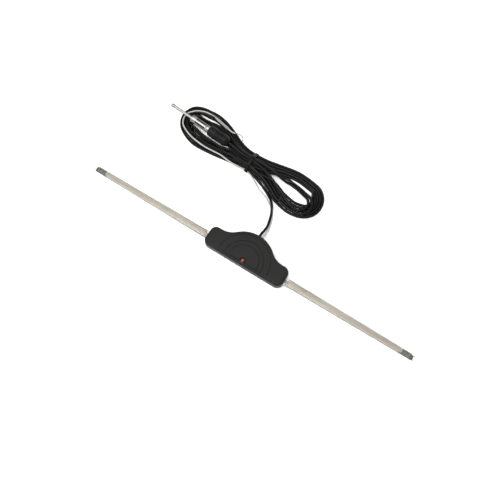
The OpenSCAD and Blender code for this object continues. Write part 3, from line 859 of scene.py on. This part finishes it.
def plug_grip():
    """Black moulded grip with five shallow grooves and four slight flats."""
    grip_r, groove_r = 6, 5.6
    profile = [(0.6, 1.45), (0, 1.6), (0, 2.7), (0.3, 3.3), (1, 3.9), (2.2, 4.9), (3.6, 5.6), (5.2, 5.95),
               (6, grip_r)]
    for x in (7.2, 9.2, 11.2, 13.2, 15.2):
        profile += [(x, grip_r), (x + 0.25, groove_r), (x + 0.9, groove_r), (x + 1.15, grip_r)]
    profile += [(18, grip_r), (22.5, 5.95), (24.6, 5.75), (25.6, 5.3), (25.95, 4.7), (26, 4), (26, 2.7),
                (25, 2.62)]

    def flats(x, a):
        along = smoothstep(x, 4, 7) * (1 - smoothstep(x, 20, 24))
        return -0.25 * smoothstep(abs(math.cos(2 * a)), 0.8, 1) * along

    obj = turned("plug_grip_body", profile, 64, flats)
    sharpen(obj, 50)
    return finish_piece(obj, "grip_plastic", replaces=["plug_grip"])


def plug_cage():
    """Sprung outer contact: a thin tube with six slots between two collars."""
    sides, wall, bow = 120, 0.8, 0.16
    collar_r, rib_r, ribs_from, ribs_l, rib_steps = 4, 3.78, 31.2, 12.6, 12
    profile = [(26.05, 3.85), (26.25, collar_r), (29.6, collar_r), (29.95, rib_r), (ribs_from, rib_r)]
    for k in range(1, rib_steps + 1):
        profile.append((ribs_from + ribs_l * k / rib_steps, rib_r + bow * math.sin(math.pi * k / rib_steps)))
    profile += [(44.7, 3.8), (45, collar_r), (49.5, collar_r), (49.85, 3.9), (50, 3.65)]
    slot_from, slot_to, slot_half, slot_turn = 31.3, 43.7, math.radians(15), math.tau / 6
    points = []
    for x, r in profile:
        for k in range(sides):
            a = math.tau * k / sides
            points.append(PLUG_TURN @ Vector((x, r * math.cos(a), r * math.sin(a))))
    faces = []
    for i in range(len(profile) - 1):
        x = (profile[i][0] + profile[i + 1][0]) / 2
        for k in range(sides):
            off = (math.tau * (k + 0.5) / sides - SLOT_ROLL) % slot_turn
            if slot_from < x < slot_to and min(off, slot_turn - off) < slot_half:
                continue
            a, b = i * sides + k, i * sides + (k + 1) % sides
            faces.append((a, b, b + sides, a + sides))
    obj = mesh_object("plug_cage", points, faces)
    tidy(obj)
    inward = obj.modifiers.new("wall", "SOLIDIFY")
    inward.thickness = wall * MM
    inward.offset = -1
    edges = obj.modifiers.new("edges", "BEVEL")
    edges.width, edges.segments, edges.angle_limit = 0.16 * MM, 2, math.radians(50)
    apply_modifiers(obj)
    sharpen(obj, 45)
    return finish_piece(obj, "nickel", replaces=["plug_shell"])


def plug_pin():
    """Long centre contact with a rounded, slightly thicker tip."""
    shank_r, pin_r, tip_r = 1.1, 1.5, 2.0
    profile = [(24, shank_r), (28, shank_r), (28.2, pin_r), (73.2, pin_r), (73.5, 1.56), (73.8, 1.8),
               (74.2, 1.97), (74.8, tip_r), (76.4, tip_r), (77.2, 1.9), (77.9, 1.55), (78.3, 1.05),
               (78.5, 0.4)]
    obj = turned("plug_centre_pin", profile, 40)
    sharpen(obj, 50)
    return finish_piece(obj, "nickel", replaces=["plug_pin"])


grip_piece, cage_piece, pin_piece = plug_grip(), plug_cage(), plug_pin()


# ---------------------------------------------------------------- cords: given materials and attached once their pieces exist
finish_piece(coax, "coax_jacket", replaces=["coax_lead", "cord_hank", "plug_tail"])
finish_piece(power, "power_jacket", replaces=["power_lead"])

# ---------------------------------------------------------------- materials of the CAD nodes that stay
for row in frame["record"]["subparts"]:
    node = frame["nodes"][row["node"]]
    for slot in node.material_slots:
        slot.material = MATERIALS[row["material_slot"]]


# ---------------------------------------------------------------- floor and light
def floor():
    """A plain pale surface just under the antenna."""
    reach, z = 4000, -0.3
    corners = [(-reach, -reach, z), (reach, -reach, z), (reach, reach, z), (-reach, reach, z)]
    obj = mesh_object("floor", corners, [(0, 1, 2, 3)], False)
    obj.data.materials.append(plain("floor", (0.93, 0.93, 0.925), 0.9, 0.01, 200, 5, 0.01))


def area_light(name, place, size, power_w):
    """A soft white light, aimed at the middle of the object. Places and sizes are in metres."""
    light = bpy.data.objects.new(name, bpy.data.lights.new(name, "AREA"))
    light.data.shape = "RECTANGLE"
    light.data.size, light.data.size_y = size
    light.data.energy = power_w
    light.location = place
    light.rotation_euler = (-Vector(place)).to_track_quat("-Z", "Y").to_euler()
    bpy.context.scene.collection.objects.link(light)


floor()
area_light("key", (-0.3, -0.4, 1.9), (1.5, 1.5), 46)
area_light("fill", (-1.3, -0.8, 1.1), (1.2, 1.2), 12)
area_light("back", (0.6, 1.5, 1.1), (1.4, 0.6), 8)

world = bpy.data.worlds.new("studio")
bpy.context.scene.world = world
world.use_nodes = True
world.node_tree.nodes["Background"].inputs["Color"].default_value = (1, 1, 1, 1)
world.node_tree.nodes["Background"].inputs["Strength"].default_value = 0.55
bpy.context.scene.view_settings.view_transform = "Standard"

bpy.context.view_layer.update()
